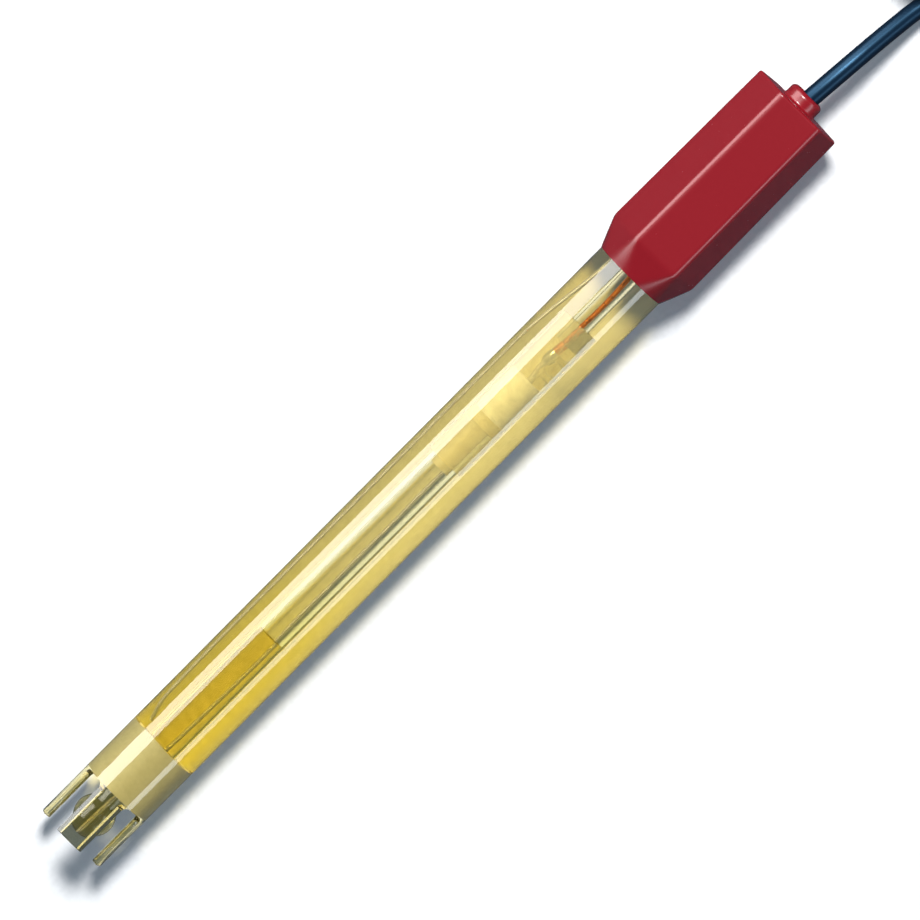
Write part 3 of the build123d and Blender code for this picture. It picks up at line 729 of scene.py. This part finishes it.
TAPE_LINKS = (
    ("given", "Turns", "helix", "Rotations"), ("given", "Radius", "helix", "Start Radius"),
    ("given", "Radius", "helix", "End Radius"), ("given", "Length", "helix", "Height"),
    ("given", "Tape Thickness", "strip", "Width"), ("given", "Tape Width", "strip", "Height"),
    ("helix", 0, "level", "Curve"), ("level", 0, "sweep", "Curve"), ("strip", 0, "sweep", "Profile Curve"),
    ("place", 0, "crease", "Vector"), ("given", "Seed", "crease", "W"), ("crease", "Color", "centred", 0),
    ("centred", 0, "amount", 0), ("given", "Crease", "amount", "Scale"), ("sweep", 0, "moved", "Geometry"),
    ("amount", 0, "moved", "Offset"), ("moved", 0, "real", 0), ("real", 0, "stuff", "Geometry"),
    ("given", "Stuff", "stuff", "Material"), ("stuff", 0, "out", "Geometry"),
)
print("tape", TAPE_INPUTS["Turns"], "turns,", len(TAPE_NODES), "nodes")


# %% The node group of the wound tape
def tape_tree():
    """Geometry Nodes: a strip swept along a helix about Z and creased by noise."""
    tree = bpy.data.node_groups.new("wound_tape", "GeometryNodeTree")
    for name, value in TAPE_INPUTS.items():
        socket = tree.interface.new_socket(name, in_out="INPUT", socket_type="NodeSocketFloat")
        socket.default_value = value
    tree.interface.new_socket("Stuff", in_out="INPUT", socket_type="NodeSocketMaterial")
    tree.interface.new_socket("Geometry", in_out="OUTPUT", socket_type="NodeSocketGeometry")
    made = {}
    for name, (kind, settings) in TAPE_NODES.items():
        made[name] = tree.nodes.new(kind)
        for key, value in settings.items():
            setattr(made[name], key, value)
    for name, socket, value in TAPE_VALUES:
        made[name].inputs[socket].default_value = value
    for source, socket, own, entry in TAPE_LINKS:
        tree.links.new(made[source].outputs[socket], made[own].inputs[entry])
    return tree


# %% [markdown]
# The node group stands along Z at the origin, which keeps it simple. A helper object runs it once, its
# result becomes a plain mesh, and that mesh is laid along the electrode. No modifier is left behind.


# %% Wound tape
def wound_tape():
    """A thin strip of thread tape wound round the wad."""
    maker = bpy.data.objects.new("tape_maker", bpy.data.meshes.new("tape_maker"))
    bpy.context.scene.collection.objects.link(maker)
    run = maker.modifiers.new("wound_tape", "NODES")
    run.node_group = tape_tree()
    for socket in run.node_group.interface.items_tree:
        if socket.name in TAPE_INPUTS:
            run[socket.identifier] = TAPE_INPUTS[socket.name]
    data = bpy.data.meshes.new_from_object(maker.evaluated_get(bpy.context.evaluated_depsgraph_get()))
    maker.modifiers.remove(run)
    bpy.data.objects.remove(maker)
    data.materials.clear()
    data.transform(Matrix.Translation(lay(WAD_START + TAPE_INSET)) @ Matrix.Rotation(pi / 2 - TILT, 4, "Y"))
    mesh = bmesh.new()
    mesh.from_mesh(data)
    bmesh.ops.recalc_face_normals(mesh, faces=mesh.faces)
    bpy.data.meshes.remove(data)
    piece = new_object("wound_tape", mesh)
    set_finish(piece, "white_tape")
    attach(piece, "electrode")
    print("wound tape", len(piece.data.polygons), "faces, from", [round(v, 4) for v in piece.bound_box[0]],
          "to", [round(v, 4) for v in piece.bound_box[6]])
    return piece


tape_piece = wound_tape()

# %% [markdown]
# The red cap is moulded in one piece. It swells from a round mouth into a hexagon that tapers slightly,
# and ends in a nub where the lead comes out. A cylinder with its flats cut off would have a hard line
# where they begin. Here the corner radius of the rings shrinks along the swell, so that the hexagon
# grows out of the circle, and small arcs round the cap's end, the nub and its foot.

# %% Cap: the outside of its body
MOUTH_RADIUS, MOUTH_ROUND, MOUTH_CREST = 6.1, 0.15, 0.04
CAP_CORNER = 1.2
SWELL_STEPS, SWELL_SHORT, CORNER_POWER = 16, 0.35, 0.9
SHOULDER_RINGS = ((-0.05, -0.005, 0.1), (0.3, 0.0, 0.0))  # along the axis, flats, corner
TAPER_RINGS = (0.6, 15)
HALF_FLATS_END = 6.9
END_ROUND, END_ARC_STEPS, END_MARGIN = 0.4, 6, 0.1
SOCKET_RADIUS, SOCKET_END = 5.45, 130.05


def cap_body():
    """Rings from the mouth along the swell and the hexagon to the rounded end."""
    rings = [(TUBE_END, SOCKET_RADIUS), (TUBE_END, MOUTH_RADIUS - MOUTH_ROUND),
             (TUBE_END + MOUTH_CREST, MOUTH_RADIUS - MOUTH_CREST), (TUBE_END + MOUTH_ROUND, MOUTH_RADIUS)]
    for step in range(1, SWELL_STEPS):
        share = step / SWELL_STEPS
        rings.append((TUBE_END + MOUTH_ROUND + (SHOULDER - TUBE_END - SWELL_SHORT) * share,
                      MOUTH_RADIUS + (HALF_FLATS - MOUTH_RADIUS) * share,
                      MOUTH_RADIUS + (CAP_CORNER - MOUTH_RADIUS) * share ** CORNER_POWER))
    rings += [(SHOULDER + s, HALF_FLATS + r, CAP_CORNER + corner) for s, r, corner in SHOULDER_RINGS]
    slope = (HALF_FLATS_END - HALF_FLATS) / (CAP_END - SHOULDER)
    for s in (*[SHOULDER + s for s in TAPER_RINGS], CAP_END - END_ROUND - END_MARGIN):
        rings.append((s, HALF_FLATS + slope * (s - SHOULDER), CAP_CORNER))
    for s, r in arc(CAP_END - END_ROUND, HALF_FLATS_END - END_ROUND, END_ROUND, 90, 0, END_ARC_STEPS):
        rings.append((s, r, CAP_CORNER - (HALF_FLATS_END - r)))
    return rings


print("cap body", len(cap_body()), "rings")

# %% Cap: the nub, the hollow and the whole shell
NUB_RADIUS, NUB_FOOT, NUB_ROUND = 2.9, 0.5, 0.8
FOOT_ROOM, FOOT_EDGE_ROOM = 1.4, 0.05
EXIT_RADIUS, EXIT_FLARE = 2.05, 0.3
CAVITY_RADIUS, CAVITY_END = 4.5, 146.0
CAP_SIDES = 288


def cap():
    """The cap swells from a round mouth into a hexagon and ends in a nub for the lead."""
    foot = NUB_RADIUS + NUB_FOOT
    rings = cap_body() + [(CAP_END, foot + FOOT_ROOM), (CAP_END, foot + FOOT_EDGE_ROOM)]
    rings += arc(CAP_END + NUB_FOOT, foot, NUB_FOOT, 180, 270, 6)
    rings += arc(NUB_END - NUB_ROUND, NUB_RADIUS - NUB_ROUND, NUB_ROUND, 90, 10, 8)
    rings += [(NUB_END, EXIT_RADIUS + EXIT_FLARE), (NUB_END - EXIT_FLARE, EXIT_RADIUS),
              (CAVITY_END, EXIT_RADIUS), (CAVITY_END, CAVITY_RADIUS), (SOCKET_END, CAVITY_RADIUS),
              (SOCKET_END, SOCKET_RADIUS)]
    return place_piece(shell("red_cap", rings, CAP_SIDES), "red_plastic", "cap")


cap_piece = cap()

# %% [markdown]
# The photograph's ground is a pale sheet without an edge. A curved backdrop would do the same, but the
# camera looks down, so a flat floor of six metres fills the view. Glossy rays don't see it, because its
# reflection would veil the clear tube.

# %% Floor
FLOOR_HALF = 3.0
floor_mesh = bpy.data.meshes.new("floor")
floor_mesh.from_pydata([(-FLOOR_HALF, -FLOOR_HALF, 0), (FLOOR_HALF, -FLOOR_HALF, 0),
                        (FLOOR_HALF, FLOOR_HALF, 0), (-FLOOR_HALF, FLOOR_HALF, 0)], [], [(0, 1, 2, 3)])
floor = bpy.data.objects.new("floor", floor_mesh)
bpy.context.scene.collection.objects.link(floor)
floor.visible_glossy = False
print("floor", 2 * FLOOR_HALF, "m wide")

# %% [markdown]
# Moulded and cast stuff is never one even colour. An image could carry the variation, but it would need
# a flat layout of each piece. A fine noise in the piece's own space needs none: it lets the colour and
# the roughness wander by a few per cent round the values that are given.

# %% A plain material
TONE_A, TONE_B, TONE_RESULT = 6, 7, 2  # the colour sockets of a Mix node, by their place


def add(made, kind, *links, **values):
    """Add a node with its sockets' values, and links as (from node, socket, this node's socket)."""
    tree = made.node_tree
    node = tree.nodes.new(kind)
    for key, value in values.items():
        if hasattr(node, key):
            setattr(node, key, value)
        else:
            node.inputs[key.replace("_", " ")].default_value = value
    for source, socket, own in links:
        tree.links.new(source.outputs[socket], node.inputs[own])
    return node


def plain(name, color, rough=0.5, grain=900.0, spread=0.12, **more):
    """A principled material whose colour and roughness wander a little, as moulded and cast stuff does."""
    made = bpy.data.materials.new(name)
    made.use_nodes = True
    shader = made.node_tree.nodes["Principled BSDF"]
    for socket, value in more.items():
        shader.inputs[socket.replace("_", " ")].default_value = value
    place = add(made, "ShaderNodeTexCoord")
    wander = add(made, "ShaderNodeTexNoise", (place, "Object", 0), Scale=grain, Detail=3.0)
    tone = add(made, "ShaderNodeMix", (wander, "Fac", 0), data_type="RGBA")
    tone.inputs[TONE_A].default_value = (*[value * (1 - spread) for value in color[:3]], 1.0)
    tone.inputs[TONE_B].default_value = (*[min(value * (1 + spread), 1.0) for value in color[:3]], 1.0)
    made.node_tree.links.new(tone.outputs[TONE_RESULT], shader.inputs["Base Color"])
    polish = add(made, "ShaderNodeMapRange", (wander, "Fac", 0), To_Min=rough * (1 - spread),
                 To_Max=rough * (1 + spread))
    made.node_tree.links.new(polish.outputs[0], shader.inputs["Roughness"])
    return made


floor_white = plain("floor_white", (0.80, 0.80, 0.80), 0.9, Emission_Color=(0.7, 0.88, 1.0, 1.0),
                    Emission_Strength=0.12)
floor_mesh.materials.append(floor_white)
print("floor material", floor_white.name)

# %% [markdown]
# The tube throws a pale yellow shadow, since lamp light passes through it. Real caustics would take far
# too many samples. Instead the tube's shadow rays meet a plain transparent surface, but only behind the
# guard, and not on the low side that is turned away from the lamps, where the photograph is dark.

# %% Light that passes through the tube
LOW_SIDE = (-0.0044, -0.0034)  # metres across: nothing passes at the first value, all at the second
TOP = (0.006, 0.008)  # and the same for the height
GREEN_SHARE, BLUE_SHARE = 0.97, 0.86


def let_shadow_rays_pass(made, shader, shadow):
    """Shadow rays pass through the material's upper parts, dimmed to a share of their light."""
    tree = made.node_tree
    path = add(made, "ShaderNodeLightPath")
    place = add(made, "ShaderNodeTexCoord")
    axes = add(made, "ShaderNodeSeparateXYZ", (place, "Object", 0))
    side = add(made, "ShaderNodeMapRange", (axes, "Y", 0), From_Min=LOW_SIDE[0], From_Max=LOW_SIDE[1])
    top = add(made, "ShaderNodeMapRange", (axes, "Z", 0), From_Min=TOP[0], From_Max=TOP[1])
    open_part = add(made, "ShaderNodeMath", (side, 0, 0), (top, 0, 1), operation="MAXIMUM")
    past_guard = add(made, "ShaderNodeMapRange", (axes, "X", 0), From_Min=lay(GUARD - 1).x,
                     From_Max=lay(GUARD).x)
    lit = add(made, "ShaderNodeMath", (open_part, 0, 0), (past_guard, 0, 1), operation="MULTIPLY")
    color = add(made, "ShaderNodeMix", (lit, 0, 0), data_type="RGBA")
    color.inputs[TONE_A].default_value = (0.0, 0.0, 0.0, 1.0)
    color.inputs[TONE_B].default_value = (shadow, shadow * GREEN_SHARE, shadow * BLUE_SHARE, 1.0)
    passing = add(made, "ShaderNodeBsdfTransparent")
    tree.links.new(color.outputs[TONE_RESULT], passing.inputs["Color"])
    mix = add(made, "ShaderNodeMixShader", (path, "Is Shadow Ray", 0), (shader, 0, 1), (passing, 0, 2))
    tree.links.new(mix.outputs[0], tree.nodes["Material Output"].inputs["Surface"])


print("guard ends at", lay(GUARD))

# %% [markdown]
# A clear stuff could be tinted on its surface, but then a thin prong and a deep rim would have one
# colour. A volume that absorbs light makes the colour deeper where light takes a longer way, as amber
# plastic does. The index of refraction comes from the faces, as the shells stored it.


# %% A clear material
def clear(name, tint, ior, absorbing=None, density=0.0, shadow=0.0):
    """A clear stuff that bends light by its faces' own refraction and may absorb it on the way."""
    made = plain(name, tint, 0.0, Transmission_Weight=1.0, IOR=ior)
    tree = made.node_tree
    shader = tree.nodes["Principled BSDF"]
    refraction = add(made, "ShaderNodeAttribute", attribute_name="refraction")
    tree.links.new(refraction.outputs["Fac"], shader.inputs["IOR"])
    if shadow:
        let_shadow_rays_pass(made, shader, shadow)
    if absorbing:
        inside = add(made, "ShaderNodeVolumeAbsorption", Color=(*absorbing, 1.0), Density=density)
        tree.links.new(inside.outputs[0], tree.nodes["Material Output"].inputs["Volume"])
    return made


amber = clear("clear_amber_plastic", (1.0, 0.99, 0.95), AMBER, (0.985, 0.87, 0.22), 220, 0.95)
print("amber material", len(amber.node_tree.nodes), "nodes")

# %% [markdown]
# The gel is deep yellow by the bulb and almost clear by the cap. Its walls are those of glass and tube,
# so it has no surface of its own, only a volume that colours what passes. One density would be too pale
# at one end or too dark at the other, so a curve along the electrode sets it.

# %% A tinted filling
FADE_START, FADE_END = 20, 118
GEL_STRENGTHS = ((20, 240), (118, 8), (42, 170), (52, 95), (60, 60), (80, 34))  # place in mm, density


def tinted_space(name, absorbing, strengths):
    """A filling that only colours the light that passes; its first two strengths are those of the ends."""
    made = bpy.data.materials.new(name)
    made.use_nodes = True
    tree = made.node_tree
    tree.nodes.remove(tree.nodes["Principled BSDF"])
    out = tree.nodes["Material Output"]
    passing = add(made, "ShaderNodeBsdfTransparent", Color=(1, 1, 1, 1))
    inside = add(made, "ShaderNodeVolumeAbsorption", Color=(*absorbing, 1.0))
    place = add(made, "ShaderNodeTexCoord")
    axes = add(made, "ShaderNodeSeparateXYZ", (place, "Object", 0))
    share = add(made, "ShaderNodeMapRange", (axes, "X", 0), From_Min=lay(FADE_START).x,
                From_Max=lay(FADE_END).x)
    ramp = add(made, "ShaderNodeFloatCurve", (share, 0, 1))
    most = max(strength for _, strength in strengths)
    curve = ramp.mapping.curves[0]
    for number, (s, strength) in enumerate(strengths):
        at = ((s - FADE_START) / (FADE_END - FADE_START), strength / most)
        if number < 2:
            curve.points[number].location = at
        else:
            curve.points.new(*at)
    ramp.mapping.update()
    scale = add(made, "ShaderNodeMath", (ramp, 0, 0), operation="MULTIPLY")
    scale.inputs[1].default_value = most
    tree.links.new(scale.outputs[0], inside.inputs["Density"])
    tree.links.new(passing.outputs[0], out.inputs["Surface"])
    tree.links.new(inside.outputs[0], out.inputs["Volume"])
    return made


yellow_gel = tinted_space("electrolyte_gel", (0.99, 0.91, 0.02), GEL_STRENGTHS)
print("gel material", len(GEL_STRENGTHS), "strengths along the electrode")

# %% [markdown]
# The light is soft and comes from all round, with long highlights along tube and cap. One big lamp would
# give the shadow and the highlights together, but they want different sizes. So a pale world and a small
# key lamp light the floor, and two long boxes beside the electrode are seen in reflections only.

# %% World
WORLD_COLOR, WORLD_STRENGTH = (0.62, 0.76, 1.0, 1.0), 0.13
world = bpy.data.worlds.new("world")
bpy.context.scene.world = world
world.use_nodes = True
background = world.node_tree.nodes["Background"]
background.inputs["Color"].default_value = WORLD_COLOR
background.inputs["Strength"].default_value = WORLD_STRENGTH
print("world strength", WORLD_STRENGTH)

# %% Lamps
LAMP_X = 0.003
BOX_DISTANCE, BOX_LENGTH = 0.7, 1.2
KEY_TOWARD = Vector((0.47, 0.44, 1.0)).normalized()
KEY_DISTANCE, KEY_SIZE, KEY_STRENGTH = 1.3, (0.3, 0.3), 24.0


def lamp(name, place, size, strength, color=(1, 1, 1)):
    """A soft rectangular lamp that looks at the object and stays out of the camera's sight."""
    data = bpy.data.lights.new(name, "AREA")
    data.shape = "RECTANGLE"
    data.size, data.size_y = size
    data.energy = strength
    data.color = color
    made = bpy.data.objects.new(name, data)
    bpy.context.scene.collection.objects.link(made)
    made.location = place
    made.rotation_euler = (Vector((LAMP_X, 0, 0)) - Vector(place)).to_track_quat("-Z", "Y").to_euler()
    made.visible_camera = False
    return made


def soft_box(name, middle, half_angle, radiance, color=(1, 1, 1)):
    """A lamp along the electrode, for reflections only, that fills a band of angles from the vertical."""
    height = 2 * BOX_DISTANCE * tan(radians(half_angle))
    place = (LAMP_X, BOX_DISTANCE * sin(radians(middle)), BOX_DISTANCE * cos(radians(middle)))
    made = lamp(name, place, (BOX_LENGTH, height), radiance * pi * BOX_LENGTH * height, color)
    made.visible_diffuse = made.visible_transmission = False
    return made


boxes = [soft_box("wide_box", 60, 21, 7.5), soft_box("narrow_box", -52, 8.5, 5.0, (0.85, 0.93, 1.0))]
key = lamp("key", tuple(KEY_TOWARD * KEY_DISTANCE), KEY_SIZE, KEY_STRENGTH)
key.data.cycles.use_multiple_importance_sampling = False
print("boxes", [round(box.data.energy, 1) for box in boxes], "W, key", key.data.energy, "W")

# %% [markdown]
# Each slot of the electrode now gets its look. The values are read by eye from the photograph and set
# against it in test renders. They could be picked from its pixels, but a pixel holds light and colour
# together. Red plastic is dark and glossy, potting is a dull cream, the lead a blue that is nearly black.

# %% Looks of the dressed pieces
LOOKS = {
    "clear_amber_plastic": amber,
    "clear_glass": clear("clear_glass", (1.0, 1.0, 1.0), GLASS),
    "buffer_solution": clear("buffer_solution", (1.0, 1.0, 1.0), LIQUID, (0.99, 0.88, 0.03), 380),
    "electrolyte_gel": yellow_gel,
    "cream_potting": plain("cream_potting", (0.47, 0.43, 0.24), 0.4, 1500.0),
    "red_plastic": plain("red_plastic", (0.245, 0.005, 0.011), 0.27, 1400.0, 0.03),
    "cable_jacket": plain("cable_jacket", (0.002, 0.009, 0.022), 0.34, 2200.0, Specular_IOR_Level=0.4,
                          Specular_Tint=(0.25, 0.6, 1.0, 1.0)),
    "translucent_sleeve": plain("translucent_sleeve", (0.93, 0.85, 0.62), 0.25, Transmission_Weight=0.8,
                                IOR=1.07),
    "clear_potting": clear("clear_potting", (1.0, 0.97, 0.80), RESIN),
    "clear_insulation": clear("clear_insulation", (1.0, 1.0, 0.97), RESIN),
    "pale_rubber": plain("pale_rubber", (0.66, 0.58, 0.32), 0.5, Transmission_Weight=0.3),
    "white_tape": plain("white_tape", (0.85, 0.82, 0.68), 0.6, Transmission_Weight=0.25),
    "spring_steel": plain("spring_steel", (0.27, 0.27, 0.27), 0.32, 2500, Metallic=1.0),
}
for node in nodes.values():
    node.data.materials.clear()
see_through = (glass, buffer, gel_piece, sleeve_piece, resin_piece, core_piece, stopper_piece, wad_piece,
               tape_piece)
for piece in see_through:
    piece.visible_shadow = piece.visible_diffuse = False
tube.visible_diffuse = False
for piece in (*see_through, tube, seal_piece, cap_piece, lead, washer):
    piece.data.materials.append(LOOKS[piece["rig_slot"]])
print("looks", len(LOOKS))

# %% [markdown]
# The frame's other solids, such as plug, clip and wires, keep their own shape. Each could have a
# hand-made look, but the record already says what they are made of. So the colour comes from the
# record, and metallic, roughness and grain from the kind of stuff.

# %% Looks of the other solids
KINDS = {  # metallic, roughness, scale of the grain
    "brushed_steel": (1.0, 0.32, 2500), "brass": (1.0, 0.28, 1800), "chrome": (1.0, 0.16, 1200),
    "rubber": (0.0, 0.60, 1500), "matte_plastic": (0.0, 0.48, 1200), "gloss_plastic": (0.0, 0.25, 900),
    "ceramic": (0.0, 0.75, 3000), "fabric": (0.0, 0.90, 2500), "glass": (0.0, 0.05, 900),
}
SCREEN_GAMMA = 2.2


def dress_solids(record):
    """Give each solid of the frame the look of its slot, and make looks that are still missing."""
    for part in record["subparts"]:
        slot = part["material_slot"]
        if slot not in LOOKS:
            data = next(m for m in record["materials"] if m["slot"] == slot)
            metallic, rough, grain = KINDS[data["class"]]
            color = [c ** SCREEN_GAMMA for c in data["base_color"][:3]]
            LOOKS[slot] = plain(slot, color, rough, grain, Metallic=metallic)
        nodes[part["node"]].data.materials.append(LOOKS[slot])


dress_solids(frame["record"])
print("looks in all", len(LOOKS))

# %% [markdown]
# A photograph's white is plain white. The usual view transform of Blender greys it a little to keep
# bright colours apart, so the plain one is chosen.

# %% View, size and the end
bpy.context.scene.view_settings.view_transform = "Standard"
bpy.context.view_layer.update()
